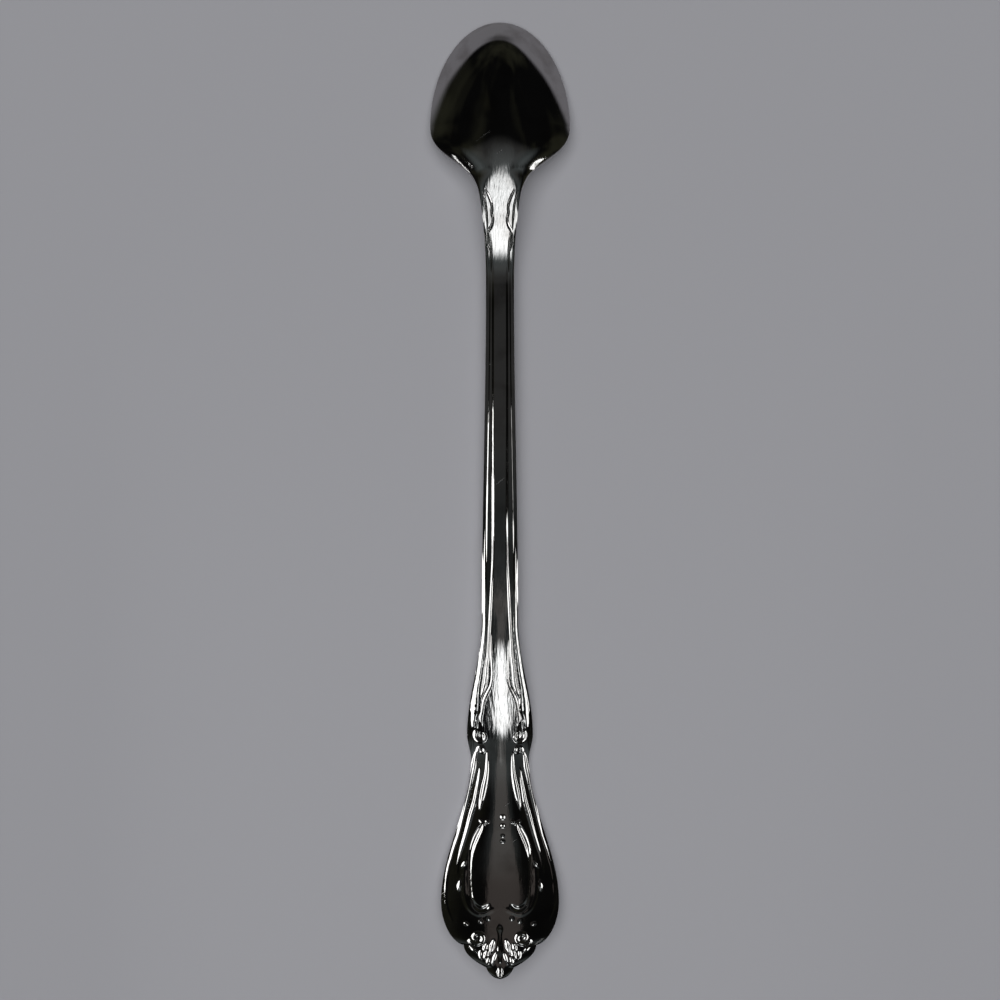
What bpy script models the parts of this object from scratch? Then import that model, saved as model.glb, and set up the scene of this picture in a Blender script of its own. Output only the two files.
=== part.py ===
"""A baby spoon lying face down, as the zones of one stamping, each a solid that meets the next face to face.

Metres, +Z up. The long axis is Y, with the bowl towards +Y, and the spoon rests on z = 0. Every zone is a
loft through cross sections, and a section is found from its place: its distance from the tip of the bowl.
"""

import math

import bmesh
import bpy

# Lengths, in order from the tip of the bowl to the end of the handle
BOWL_TIP_LENGTH = 0.0155  # tip of the rim to the widest section
BOWL_HEEL_LENGTH = 0.0094  # widest section to the neck
NECK_LENGTH = 0.0141
STEM_LENGTH = 0.0490
SWELL_LENGTH = 0.0169  # end of the stem to the fullest part of the scrolls
WAIST_LENGTH = 0.0038  # fullest part of the scrolls to the waist
BLADE_LENGTH = 0.0204  # waist to the widest part of the blade
SHOULDER_LENGTH = 0.0062  # widest part of the blade to the notch before the shell
SHELL_LENGTH = 0.0047

# Widths of the outline
BOWL_WIDTH = 0.0205
NECK_WIDTH = 0.0064  # where the neck leaves the bowl
STEM_WIDTH = 0.0041  # where the stem is narrowest
STEM_END_WIDTH = 0.0053
SWELL_WIDTH = 0.0097
WAIST_WIDTH = 0.0085
BLADE_WIDTH = 0.0173
NOTCH_WIDTH = 0.0106
SHELL_END_WIDTH = 0.0012

# Bowl
BOWL_DEPTH = 0.0056  # table to the deepest point of the hollow
BOWL_WALL = 0.0011
RIM_EDGE = 0.0008  # height of the rim's upright edge
RIM_LAND = 0.0009  # width of the rim's flat underside
RIM_REST_LENGTH = 0.0040  # how much of the rim, from its tip, lies on the table
HOLLOW_LENGTH = 0.0233  # tip of the rim to the end of the hollow

# Handle, side on
NECK_LIFT = 0.0024  # face above the table where the neck leaves the bowl
STEM_LIFT = 0.0007
END_LIFT = 0.0036
REST_FLAT_LENGTH = 0.0020  # flat of the face after the waist, which lies on the table
STEM_THICKNESS = 0.0027
WAIST_THICKNESS = 0.00175
PANEL_THICKNESS = 0.00195  # where the panel starts
BLADE_THICKNESS = 0.0018
SHELL_THICKNESS = 0.0014
NECK_EDGE = 0.0022  # height of the handle's edge above its face
STEM_EDGE = 0.0020
BLADE_EDGE = 0.0012
FACE_ROUND = 0.0002  # how far the face rises to its edges
FACE_ROUND_WIDTH = 0.0010

# Relief on the back of the handle
BAND_WIDTH = 0.0020  # flat band along the stem
SWELL_BAND_WIDTH = 0.0040
WAIST_BAND_WIDTH = 0.0036
PANEL_WIDTH = 0.0118  # raised panel on the blade
PANEL_START = 0.0090  # waist to the top of the panel
PANEL_WIDEST = 0.0188  # waist to the widest part of the panel
PANEL_END = 0.0233  # waist to the foot of the panel
RIB_WIDTH = 0.0014  # rib from the panel into the shell
BAND_STEP = 0.00015
PANEL_STEP = 0.0003
STEP_RUN = 0.0002  # width of the slope beside the band
THREAD_HEIGHT = 0.0002
LEAST_BORDER = 0.0006  # metal always left between the band and the outline

# Curves of the outline and of the bowl: 2 is an ellipse or a parabola, more is fuller
HEEL_CURVE = 1.3
NECK_CURVE = 2.2
SHOULDER_CURVE = 0.6
SHELL_CURVE = 1.6
DOME_TIP_CURVE = 4.5
DOME_SIDE_CURVE = 2.3
BORDER_CURVE = 2.2

# Places along the spoon
WIDEST = BOWL_TIP_LENGTH
NECK_START = WIDEST + BOWL_HEEL_LENGTH
STEM_START = NECK_START + NECK_LENGTH
STEM_END = STEM_START + STEM_LENGTH
SCROLLS = STEM_END + SWELL_LENGTH
WAIST = SCROLLS + WAIST_LENGTH
REST_END = WAIST + REST_FLAT_LENGTH
BLADE_WIDEST = WAIST + BLADE_LENGTH
NOTCH = BLADE_WIDEST + SHOULDER_LENGTH
END = NOTCH + SHELL_LENGTH

# Points of half a section, from its edge to its middle: shares of the half width in the bowl, and shares
# of the border in the handle, where a thread raises the points that are its crests
BOWL_SHARES = (1.0, 0.965, 0.925, 0.87, 0.8, 0.7, 0.56)
BORDER_SHARES = (0.0, 0.12, 0.28, 0.46, 0.64, 0.82, 1.0)
THREAD_CRESTS = (2, 4)
BOWL_MIDDLE_SHARES = (0.4, 0.2)
BAND_SHARES = (1.0, 0.5)

# Sections of each zone
TIP_ANGLES = 16
FIRST_TIP_ANGLE = math.radians(4)
HEEL_STEPS = 10
NECK_STEPS = 12
STEM_STEPS = 14
SWELL_STEPS = 16
REST_STEPS = 3
BLADE_STEPS = 20
SHELL_STEPS = 9

STEEL = (0.60, 0.60, 0.59, 1.0)
SHARP_ANGLE = math.radians(40)


def ease(share):
    """0 to 1 with a level start and finish."""
    share = min(max(share, 0.0), 1.0)
    return share * share * (3.0 - 2.0 * share)


def along(place, stations):
    """The value at a place between (place, value) stations, eased from each to the next."""
    value = stations[0][1]
    for (start, first), (finish, last) in zip(stations, stations[1:]):
        if place >= start:
            value = first + (last - first) * ease((place - start) / (finish - start))
    return value


def half_width(place):
    """Half the width of the outline."""
    if place < WIDEST:
        share = (WIDEST - place) / BOWL_TIP_LENGTH
        return BOWL_WIDTH / 2 * math.sqrt(max(1.0 - share**2, 0.0))
    if place < NECK_START:
        share = (place - WIDEST) / BOWL_HEEL_LENGTH
        kept = (1.0 + math.cos(math.pi * share**HEEL_CURVE)) / 2
        return NECK_WIDTH / 2 + (BOWL_WIDTH - NECK_WIDTH) / 2 * kept
    if place < STEM_START:
        kept = (1.0 - (place - NECK_START) / NECK_LENGTH) ** NECK_CURVE
        return STEM_WIDTH / 2 + (NECK_WIDTH - STEM_WIDTH) / 2 * kept
    if place < BLADE_WIDEST:
        stations = (
            (STEM_START, STEM_WIDTH / 2),
            (STEM_END, STEM_END_WIDTH / 2),
            (SCROLLS, SWELL_WIDTH / 2),
            (WAIST, WAIST_WIDTH / 2),
            (BLADE_WIDEST, BLADE_WIDTH / 2),
        )
        return along(place, stations)
    if place < NOTCH:
        share = (place - BLADE_WIDEST) / SHOULDER_LENGTH
        kept = (1.0 - share**2) ** SHOULDER_CURVE
        return NOTCH_WIDTH / 2 + (BLADE_WIDTH - NOTCH_WIDTH) / 2 * kept
    share = min((place - NOTCH) / SHELL_LENGTH, 1.0)
    return SHELL_END_WIDTH / 2 + (NOTCH_WIDTH - SHELL_END_WIDTH) / 2 * (1.0 - share**SHELL_CURVE)


def face_height(place):
    """Height of the face, which looks down, along the middle of the handle and along the bowl's rim."""
    if place > REST_END:
        return END_LIFT * ((place - REST_END) / (END - REST_END)) ** 2
    stations = (
        (RIM_REST_LENGTH, 0.0),
        (NECK_START, NECK_LIFT),
        (STEM_START, STEM_LIFT),
        (STEM_END, STEM_LIFT),
        (WAIST, 0.0),
    )
    return along(place, stations)


def back_height(place):
    """Height of the back along the middle, from the deepest point of the bowl to the end of the handle."""
    if place < STEM_START:
        stations = ((WIDEST, BOWL_DEPTH + BOWL_WALL), (STEM_START, STEM_LIFT + STEM_THICKNESS))
        return along(place, stations)
    stations = (
        (STEM_END, STEM_THICKNESS),
        (WAIST, WAIST_THICKNESS),
        (WAIST + PANEL_START, PANEL_THICKNESS),
        (BLADE_WIDEST, BLADE_THICKNESS),
        (END, SHELL_THICKNESS),
    )
    return face_height(place) + along(place, stations)


def edge_height(place):
    """Height of the upright edge above the face."""
    stations = (
        (WIDEST, RIM_EDGE),
        (NECK_START, NECK_EDGE),
        (STEM_START, STEM_EDGE),
        (STEM_END, STEM_EDGE),
        (WAIST, BLADE_EDGE),
    )
    return along(place, stations)


def band_half_width(place):
    """Half the width of the flat band, which widens into the swell and into the blade's panel."""
    stations = (
        (STEM_END, BAND_WIDTH / 2),
        (SCROLLS, SWELL_BAND_WIDTH / 2),
        (WAIST, WAIST_BAND_WIDTH / 2),
        (WAIST + PANEL_START, WAIST_BAND_WIDTH / 2),
        (WAIST + PANEL_WIDEST, PANEL_WIDTH / 2),
        (WAIST + PANEL_END, RIB_WIDTH / 2),
    )
    return max(min(along(place, stations), half_width(place) - LEAST_BORDER), half_width(place) / 4)


def band_step(place):
    """How far the band stands above the border beside it."""
    stations = (
        (WAIST + PANEL_START, BAND_STEP),
        (WAIST + PANEL_WIDEST, PANEL_STEP),
        (WAIST + PANEL_END, BAND_STEP),
    )
    return along(place, stations)


def dome(x, place, half, length, base, top):
    """Height of a dome over the bowl's outline, drawn in to the given half width and tip length."""
    forward = max(WIDEST - place, 0.0) / length
    sideways = abs(x) / half
    radius = math.hypot(forward, sideways)
    if radius >= 1.0:
        return base
    share = (forward / radius) ** 4 if radius > 0.0 else 0.0
    curve = DOME_SIDE_CURVE + (DOME_TIP_CURVE - DOME_SIDE_CURVE) * share
    return base + (top - base) * (1.0 - radius**curve)


def bowl_back(x, place):
    """Height of the bowl's back, and of the heel that runs out of it."""
    half = BOWL_WIDTH / 2 if place < WIDEST else half_width(place)
    base = face_height(place) + edge_height(place)
    return dome(x, place, half, BOWL_TIP_LENGTH, base, back_height(place))


def bowl_face(x, place):
    """Height of the rim's underside and of the hollow inside it."""
    half = BOWL_WIDTH / 2 if place < WIDEST else half_width(place)
    base = face_height(place)
    top = along(place, ((WIDEST, BOWL_DEPTH), (HOLLOW_LENGTH, base)))
    return dome(x, place, half - RIM_LAND, BOWL_TIP_LENGTH - RIM_LAND, base, top)


def handle_face(x, place):
    """Height of the handle's flat face, rounded up to its edges."""
    inside = half_width(place) - abs(x)
    rounded = max(1.0 - inside / FACE_ROUND_WIDTH, 0.0)
    return face_height(place) + FACE_ROUND * rounded**2


def bowl_half(place):
    """(x, back, face) from the edge of a bowl section to just short of its middle."""
    points = []
    for share in BOWL_SHARES + BOWL_MIDDLE_SHARES:
        x = share * half_width(place)
        points.append((x, bowl_back(x, place), bowl_face(x, place)))
    return points


def handle_half(place):
    """(x, back, face) from the edge of a handle section to just short of its middle."""
    half = half_width(place)
    band = band_half_width(place)
    border = half - band - STEP_RUN
    low = face_height(place) + edge_height(place)
    high = back_height(place) - band_step(place)
    points = []
    for i, share in enumerate(BORDER_SHARES):
        x = half - share * border
        back = low + (high - low) * (1.0 - (1.0 - share) ** BORDER_CURVE)
        if i in THREAD_CRESTS:
            back += THREAD_HEIGHT
        points.append((x, back, handle_face(x, place)))
    for share in BAND_SHARES:
        x = share * band
        points.append((x, back_height(place), handle_face(x, place)))
    return points


def half_section(place):
    """The bowl's section changes into the handle's along the neck."""
    if place <= NECK_START:
        return bowl_half(place)
    change = ease((place - NECK_START) / NECK_LENGTH)
    mixed = []
    for bowl_point, handle_point in zip(bowl_half(place), handle_half(place)):
        mixed.append([b + (h - b) * change for b, h in zip(bowl_point, handle_point)])
    return mixed


def section(place):
    """The closed ring of (x, z) points: the back from left to right, then the face from right to left."""
    half = half_section(place)
    middle_back = bowl_back(0.0, place) if place < WIDEST else back_height(place)
    middle_face = bowl_face(0.0, place) if place < NECK_START else face_height(place)
    back = [(-x, z) for x, z, _ in half]
    back.append((0.0, middle_back))
    back.extend((x, z) for x, z, _ in reversed(half))
    face = [(x, z) for x, _, z in half]
    face.append((0.0, middle_face))
    face.extend((-x, z) for x, _, z in reversed(half))
    return back + face


def steps(start, finish, count):
    """Evenly spaced places from start to finish."""
    return [start + (finish - start) * i / count for i in range(count + 1)]


def bowl_places():
    """Sections at equal angles round the tip of the rim, then evenly along the heel."""
    angles = steps(FIRST_TIP_ANGLE, math.pi / 2, TIP_ANGLES)
    tip = [WIDEST - BOWL_TIP_LENGTH * math.cos(angle) for angle in angles]
    return tip[:-1] + steps(WIDEST, NECK_START, HEEL_STEPS)


def blade_places():
    """Sections along the flat that lies on the table, then along the rest of the blade."""
    return steps(WAIST, REST_END, REST_STEPS)[:-1] + steps(REST_END, NOTCH, BLADE_STEPS)


def steel(name, roughness):
    """Polished steel, with the colour that it has where the sky is plain."""
    material = bpy.data.materials.new(name)
    material.use_nodes = True
    shader = material.node_tree.nodes["Principled BSDF"]
    shader.inputs["Base Color"].default_value = STEEL
    shader.inputs["Metallic"].default_value = 1.0
    shader.inputs["Roughness"].default_value = roughness
    material.diffuse_color = STEEL
    return material


def zone(name, places, roughness, collection, frame):
    """One closed solid through the sections at these places. Its origin is at the first of them."""
    mesh = bmesh.new()
    rings = []
    for place in places:
        rings.append([mesh.verts.new((x, places[0] - place, z)) for x, z in section(place)])
    for here, there in zip(rings, rings[1:]):
        for i in range(len(here)):
            mesh.faces.new((here[i - 1], here[i], there[i], there[i - 1]))
    mesh.faces.new(rings[0])
    mesh.faces.new(rings[-1])
    bmesh.ops.recalc_face_normals(mesh, faces=mesh.faces)
    data = bpy.data.meshes.new(name)
    mesh.to_mesh(data)
    mesh.free()
    data.shade_smooth()
    data.set_sharp_from_angle(angle=SHARP_ANGLE)
    data.materials.append(steel(name + "_steel", roughness))
    solid = bpy.data.objects.new(name, data)
    solid.location.y = END / 2 - places[0]
    solid.parent = frame
    collection.objects.link(solid)


def build():
    for old in list(bpy.data.objects):
        bpy.data.objects.remove(old)
    collection = bpy.data.collections.new("baby_spoon")
    bpy.context.scene.collection.children.link(collection)
    frame = bpy.data.objects.new("spoon_frame", None)
    collection.objects.link(frame)
    zone("bowl", bowl_places(), 0.08, collection, frame)
    zone("neck", steps(NECK_START, STEM_START, NECK_STEPS), 0.14, collection, frame)
    zone("stem", steps(STEM_START, STEM_END, STEM_STEPS), 0.14, collection, frame)
    zone("scroll_swell", steps(STEM_END, WAIST, SWELL_STEPS), 0.16, collection, frame)
    zone("blade", blade_places(), 0.16, collection, frame)
    zone("shell_tip", steps(NOTCH, END, SHELL_STEPS), 0.16, collection, frame)


build()
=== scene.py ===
# %% [markdown]
# A baby spoon of polished steel, lying face down with its back to the camera.
# The real spoon is stamped from one blank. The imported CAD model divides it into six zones, and it is the
# frame here: it gives the places of the zones and the main sizes. Over each zone goes a fine skin, which has
# the rounded rim, the true curve of the back and the stamped ornament.
# All sizes are in metres. A place on the spoon is its distance from the tip of the bowl, measured along -Y.

# %% Load the frame
import math

import bmesh
import bpy
import numpy as np
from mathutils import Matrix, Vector


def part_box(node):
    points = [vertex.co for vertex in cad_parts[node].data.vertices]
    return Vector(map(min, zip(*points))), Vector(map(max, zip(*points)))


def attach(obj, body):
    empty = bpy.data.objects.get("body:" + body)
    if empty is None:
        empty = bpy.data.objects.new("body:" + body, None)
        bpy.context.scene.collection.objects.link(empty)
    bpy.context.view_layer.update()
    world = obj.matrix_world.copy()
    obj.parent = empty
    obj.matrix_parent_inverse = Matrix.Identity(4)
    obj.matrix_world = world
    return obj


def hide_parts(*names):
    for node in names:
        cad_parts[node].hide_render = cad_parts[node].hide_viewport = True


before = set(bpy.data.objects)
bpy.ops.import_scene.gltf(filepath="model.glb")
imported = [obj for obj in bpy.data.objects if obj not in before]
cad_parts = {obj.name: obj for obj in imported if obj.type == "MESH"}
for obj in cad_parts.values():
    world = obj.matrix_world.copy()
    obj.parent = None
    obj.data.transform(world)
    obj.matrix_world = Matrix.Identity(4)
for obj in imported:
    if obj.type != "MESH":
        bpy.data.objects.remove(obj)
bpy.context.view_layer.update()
print("zones in the frame", sorted(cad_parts))

# %% [markdown]
# The zones follow each other along the spoon, so the foot of each zone's box is a cut, and the width of a
# box is the greatest width of its zone. The numbers could be typed in again, but reading them from the frame
# keeps the skins and the solids together.

# %% Places and widths from the frame
ZONES = ("bowl", "neck", "stem", "scroll_swell", "blade", "shell_tip")
TIP_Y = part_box("bowl")[1][1]


def foot(zone):
    """Place where a zone ends."""
    return TIP_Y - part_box(zone)[0][1]


def width(zone):
    """Greatest width of a zone."""
    lowest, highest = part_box(zone)
    return highest[0] - lowest[0]


NECK_START, STEM_START, STEM_END, WAIST, NOTCH, END = (foot(zone) for zone in ZONES)
BOWL_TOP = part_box("bowl")[1][2]
print("zones end at", [round(foot(zone), 4) for zone in ZONES])

# %% [markdown]
# A box says nothing of what happens inside its zone, such as where the bowl is widest or how thick the stem
# is. These sizes are written here once. Each place is given from the cut it belongs to, so that it moves
# along if the zone becomes longer.

# %% Sizes that the boxes do not give
WIDEST = 0.0155  # tip of the bowl to its widest section
SCROLLS = WAIST - 0.0038  # fullest part of the scrolls
BLADE_WIDEST = WAIST + 0.0204
PANEL_START = WAIST + 0.0090
SWELL_START = STEM_END + 0.0018  # the back and the face start to fall here
REST_START = SCROLLS + 0.0012  # start of the flat of the face that lies on the table
REST_END = WAIST + 0.0020

STEM_WIDTH = 0.0041
STEM_END_WIDTH = 0.0053
WAIST_WIDTH = 0.0085
TONGUE_WIDTH = 0.0042  # the middle lobe of the shell

BOWL_DEPTH = 0.0056
HOLLOW_LENGTH = 0.0233
RIM_EDGE = 0.0008
RIM_LAND = 0.0009  # width of the rim's flat underside
RIM_REST_LENGTH = 0.0040  # how much of the rim, from its tip, lies on the table

NECK_LIFT = 0.0024  # height of the face above the table
STEM_LIFT = 0.0007
END_LIFT = 0.0036

STEM_THICKNESS = 0.0027
WAIST_THICKNESS = 0.00175
PANEL_THICKNESS = 0.00195
BLADE_THICKNESS = 0.0018
SHELL_THICKNESS = 0.0014

NECK_EDGE = 0.0029  # height of the edge above the face
STEM_EDGE = 0.00242
WAIST_EDGE = 0.0012
BLADE_EDGE = 0.0012
print("widest at", WIDEST, "and", round(BLADE_WIDEST, 4), "with the fullest scrolls at", round(SCROLLS, 4))

# %% [markdown]
# The outline, the face and the back are three curves along the spoon. They could be drawn as Bezier curves
# and read back, but a formula gives every place at once, and numpy works out all places together. Each curve
# is a chain of eased stretches between stations, so it has no kink where one stretch meets the next.

# %% Tools for curves


def ease(share):
    """0 to 1 with a level start and finish."""
    share = np.clip(share, 0.0, 1.0)
    return share * share * (3.0 - 2.0 * share)


def along(place, stations):
    """The value at each place between (place, value) stations, eased from each to the next."""
    value = np.full(np.shape(place), stations[0][1], dtype=float)
    for (start, first), (finish, last) in zip(stations, stations[1:]):
        eased = first + (last - first) * ease((place - start) / (finish - start))
        value = np.where(place >= start, eased, value)
    return value


def ramp(share, rise, fall):
    """0 to 1 along a straight ramp with its first and last shares rounded off."""
    straight = 1.0 - rise / 2 - fall / 2
    start = share**2 / (2 * rise)
    finish = straight - (1.0 - share) ** 2 / (2 * fall)
    return np.select([share < rise, share < 1.0 - fall], [start, share - rise / 2], finish) / straight


def share_of(place, start, finish):
    """How far each place is from start to finish, from 0 to 1."""
    return np.clip((place - start) / (finish - start), 0.0, 1.0)


def between(most, least, kept):
    """Half a width that falls from most to least as kept falls from 1 to 0."""
    return least / 2 + (most - least) / 2 * kept


print("an eased ramp", np.round(ease(np.linspace(0.0, 1.0, 5)), 3))

# %% [markdown]
# The outline is what one sees first: a round tip, a heel that draws in to the neck, the slim stem, the
# swelling with its waist, the wide blade and the three lobes of the shell. Where heel and neck meet, two
# formulas would leave a corner. Averaging the outline over a short span there rounds it, as a file would.

# %% Outline
HEEL_CURVE = 1.3
NECK_CURVE = 2.2
SHOULDER_CURVE = 0.6
LOBE_LENGTH = 0.85  # share of the shell beside which the side lobes would close
TONGUE_START = 0.6  # share of the shell where the tongue starts to close
TONGUE_CLOSE = 0.99
TONGUE_CURVE = 1.5
CORNER_REACH = 0.0045  # how far from the corner between heel and neck its rounding is felt
CORNER_ROUND = 0.0016
CORNER_SHIFTS = (-1.0, -0.5, 0.0, 0.5, 1.0)


def plain_half_width(place):
    """Half the width of the outline, stretch by stretch."""
    tip = width("bowl") / 2 * np.sqrt(1.0 - share_of(place, WIDEST, 0.0) ** 2)
    heel_turn = np.pi * share_of(place, WIDEST, NECK_START) ** HEEL_CURVE
    heel = between(width("bowl"), width("neck"), (1.0 + np.cos(heel_turn)) / 2)
    neck = between(width("neck"), STEM_WIDTH, (1.0 - share_of(place, NECK_START, STEM_START)) ** NECK_CURVE)
    handle = along(
        place,
        (
            (STEM_START, STEM_WIDTH / 2),
            (STEM_END, STEM_END_WIDTH / 2),
            (SCROLLS, width("scroll_swell") / 2),
            (WAIST, WAIST_WIDTH / 2),
            (BLADE_WIDEST, width("blade") / 2),
        ),
    )
    shoulder_turn = share_of(place, BLADE_WIDEST, NOTCH)
    shoulder = between(width("blade"), width("shell_tip"), (1.0 - shoulder_turn**2) ** SHOULDER_CURVE)
    shell_share = share_of(place, NOTCH, END)
    lobe = width("shell_tip") / 2 * (1.0 - (shell_share / LOBE_LENGTH) ** 2)
    closing = share_of(shell_share, TONGUE_START, 1.0) ** TONGUE_CURVE
    tongue = TONGUE_WIDTH / 2 * (1.0 - TONGUE_CLOSE * closing) ** 0.5
    shell = np.maximum(lobe, tongue)
    ends = (WIDEST, NECK_START, STEM_START, BLADE_WIDEST, NOTCH)
    return np.select([place < end for end in ends], [tip, heel, neck, handle, shoulder], shell)


def half_width(place):
    """Half the width of the outline, with the corner between heel and neck rounded off."""
    place = np.asarray(place, dtype=float)
    nearness = 1.0 - np.clip(np.abs(place - NECK_START) / CORNER_REACH, 0.0, 1.0)
    span = CORNER_ROUND * ease(nearness)
    total = sum(plain_half_width(place + shift * span) for shift in CORNER_SHIFTS)
    return total / len(CORNER_SHIFTS)


print("half widths", np.round(half_width(np.array([WIDEST, SCROLLS, BLADE_WIDEST])), 5))

# %% [markdown]
# Seen from the side, the spoon rests on the front of its rim and on a short flat near the waist. The neck
# arches up between them, and the handle's end is lifted so that fingers get under it. The heights are curves
# of the same kind as the outline: one for the face, one for the back and one for the edge between them.

# %% Side view
HEEL_RISE = 0.36  # shares of the way from bowl to stem where the back bends over and levels out
HEEL_FALL = 0.23


def face_height(place):
    """Height of the face, which looks down, along the handle and along the bowl's rim."""
    stations = (
        (RIM_REST_LENGTH, 0.0),
        (NECK_START, NECK_LIFT),
        (STEM_START, STEM_LIFT),
        (SWELL_START, STEM_LIFT),
        (REST_START, 0.0),
    )
    return along(place, stations) + END_LIFT * share_of(place, REST_END, END) ** 2


def back_height(place):
    """Height of the back along the middle, from the widest part of the bowl to the end of the handle."""
    heel_share = ramp(share_of(place, WIDEST, STEM_START), HEEL_RISE, HEEL_FALL)
    heel = BOWL_TOP + (STEM_LIFT + STEM_THICKNESS - BOWL_TOP) * heel_share
    thickness = along(
        place,
        (
            (SWELL_START, STEM_THICKNESS),
            (REST_START, WAIST_THICKNESS),
            (WAIST, WAIST_THICKNESS),
            (PANEL_START, PANEL_THICKNESS),
            (BLADE_WIDEST, BLADE_THICKNESS),
            (END, SHELL_THICKNESS),
        ),
    )
    return np.where(place < STEM_START, heel, face_height(place) + thickness)


def edge_height(place):
    """Height of the edge above the face, where the back begins."""
    stations = (
        (WIDEST, RIM_EDGE),
        (NECK_START, NECK_EDGE),
        (STEM_START, STEM_EDGE),
        (STEM_END, STEM_EDGE),
        (WAIST, WAIST_EDGE),
        (PANEL_START, BLADE_EDGE),
    )
    return along(place, stations)


print("heights of the back", np.round(back_height(np.array([WIDEST, STEM_START, WAIST, END])), 5))

# %% [markdown]
# Half a cross section runs from the middle of the back, out over the crowned back, round the edge, in along
# the land under the edge and up the hollow to the middle of the face. A Bevel modifier could round the edges
# of a plainer loft, but mirror steel shows every uneven face. Here every section has the same number of
# points, so neighbouring zones meet point to point and no seam shows in the reflections.

# %% Points of half a cross section
BACK_POINTS = 80
ARC_POINTS = 5
LAND_POINTS = 4
HOLLOW_POINTS = 24
ARC_START = math.radians(25)

BACK_SHARES = np.linspace(0.0, 1.0, BACK_POINTS + 1)
ARC_ANGLES = np.linspace(ARC_START, -math.pi / 2, ARC_POINTS + 2)[1:-1]
LAND_SHARES = np.linspace(0.0, 1.0, LAND_POINTS)
HOLLOW_SHARES = np.linspace(1.0, 0.0, HOLLOW_POINTS + 1)[1:]


def flat(value, shares):
    """The same value at every share."""
    return value + 0.0 * shares


def arc_heights(low, face):
    """Heights round the edge, from just under the back to just over the face."""
    middle = (low + face) / 2
    above = middle + (low - middle) * np.sin(ARC_ANGLES) / math.sin(ARC_START)
    below = middle + (middle - face) * np.sin(ARC_ANGLES)
    return np.where(ARC_ANGLES > 0.0, above, below)


print("points from back to face", BACK_POINTS + 1 + ARC_POINTS + LAND_POINTS + HOLLOW_POINTS)

# %% [markdown]
# The crown says how the back falls from its middle to its edge: 2 is a parabola, and a high number is a flat
# back with a quick fall at the edge, as on the stem. The stem's flat band and its border are two low steps
# on top of that. The press value is 1 where the die may strike, and it fades out before the edge, so the
# outline and the face stay clean.

# %% Half a cross section
RIM_ROUND = 0.0004  # how far the rounding of an edge reaches in
HANDLE_ROUND = 0.00015
DOME_SIDE_CURVE = 2.3
HEEL_CROWN = 3.1
STEM_CROWN = 16.0
SWELL_CROWN = 2.1
SCROLL_CROWN = 1.5
CROWN_STATIONS = (
    (WIDEST, DOME_SIDE_CURVE),
    (NECK_START - 0.0025, HEEL_CROWN),
    (NECK_START + 0.0038, STEM_CROWN),
    (STEM_END - 0.0100, STEM_CROWN),
    (STEM_END, SWELL_CROWN),
    (SCROLLS - 0.0025, SWELL_CROWN),
    (SCROLLS + 0.0005, SCROLL_CROWN),
    (WAIST + 0.0020, SWELL_CROWN),
)
BAND_HALF_WIDTH = 0.00104  # the flat band along the stem
BAND_RISE = 0.00016
BAND_RUN = 0.00047
BORDER_WIDTH = 0.00058  # the border outside the band
BORDER_RISE = 0.0001
BORDER_RUN = 0.00025
TERRACE_STATIONS = (  # where the two steps rise out of the neck and sink into the swelling
    (STEM_START - 0.005, 0.0),
    (STEM_START + 0.004, 1.0),
    (STEM_END - 0.012, 1.0),
    (STEM_END - 0.002, 0.0),
)
PRESS_FADE = 0.00015  # the ornament fades out this far from the edge
SLOPE_STEP = 0.00001
STEEPEST = 2.0  # slope of the outline beyond which rounding and land grow no wider
MOST_ROUND = 0.45  # shares of the half width that rounding and land may take
MOST_LAND = 0.6


def terrace(inside, run):
    """0 to 1 up a step of this run, from how far a point lies inside the step's middle."""
    return ease(inside / run + 0.5)


def half_sections(places):
    """(across, place, height, press) of half a section at each place, one row for each."""
    place = np.asarray(places)[:, None]
    half = half_width(place)
    ahead = half_width(np.minimum(place + SLOPE_STEP, END))
    slope = (ahead - half_width(place - SLOPE_STEP)) / (2 * SLOPE_STEP)
    lean = np.sqrt(1.0 + np.clip(slope, -STEEPEST, STEEPEST) ** 2)
    rounding = along(place, ((WIDEST, RIM_ROUND), (NECK_START, HANDLE_ROUND)))
    run = np.minimum(rounding * lean, MOST_ROUND * half)
    reach = half - run * (1.0 - math.cos(ARC_START))
    face = face_height(place)
    low = face + edge_height(place)
    stepped = along(place, TERRACE_STATIONS)
    high = back_height(place) - stepped * (BAND_RISE + BORDER_RISE)
    crown = along(place, CROWN_STATIONS)
    band = BAND_RISE * terrace(BAND_HALF_WIDTH - BACK_SHARES * reach, BAND_RUN)
    border = BORDER_RISE * terrace(half - BORDER_WIDTH - BACK_SHARES * reach, BORDER_RUN)
    land = np.minimum(RIM_LAND * lean, MOST_LAND * half)
    hollow_top = np.maximum(along(place, ((WIDEST, BOWL_DEPTH), (HOLLOW_LENGTH, 0.0))), face)
    across = [
        BACK_SHARES * reach,
        half - run + run * np.cos(ARC_ANGLES),
        half - run + (run - land) * LAND_SHARES,
        HOLLOW_SHARES * (half - land),
    ]
    height = [
        high - (high - low) * BACK_SHARES**crown + stepped * (band + border),
        arc_heights(low, face),
        flat(face, LAND_SHARES),
        face + (hollow_top - face) * (1.0 - HOLLOW_SHARES**DOME_SIDE_CURVE),
    ]
    unpressed = np.zeros((len(place), ARC_POINTS + LAND_POINTS + HOLLOW_POINTS))
    press = [ease((1.0 - BACK_SHARES) * reach / PRESS_FADE), unpressed]
    across, height, press = (np.concatenate(parts, axis=1) for parts in (across, height, press))
    return across, flat(place, across), height, press


print("points in half a section", half_sections([WIDEST])[0].shape[1])

# %% [markdown]
# The bowl's round tip would bunch up if it were cut straight across like the rest. So there the half sections
# turn about the top of the bowl like the ribs of a fan. The dome is fuller towards the tip than at the sides.

# %% Spokes round the tip of the bowl
DOME_TIP_CURVE = 4.5
TIP_BLEND = 4  # how late the fuller curve of the tip sets in


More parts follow.
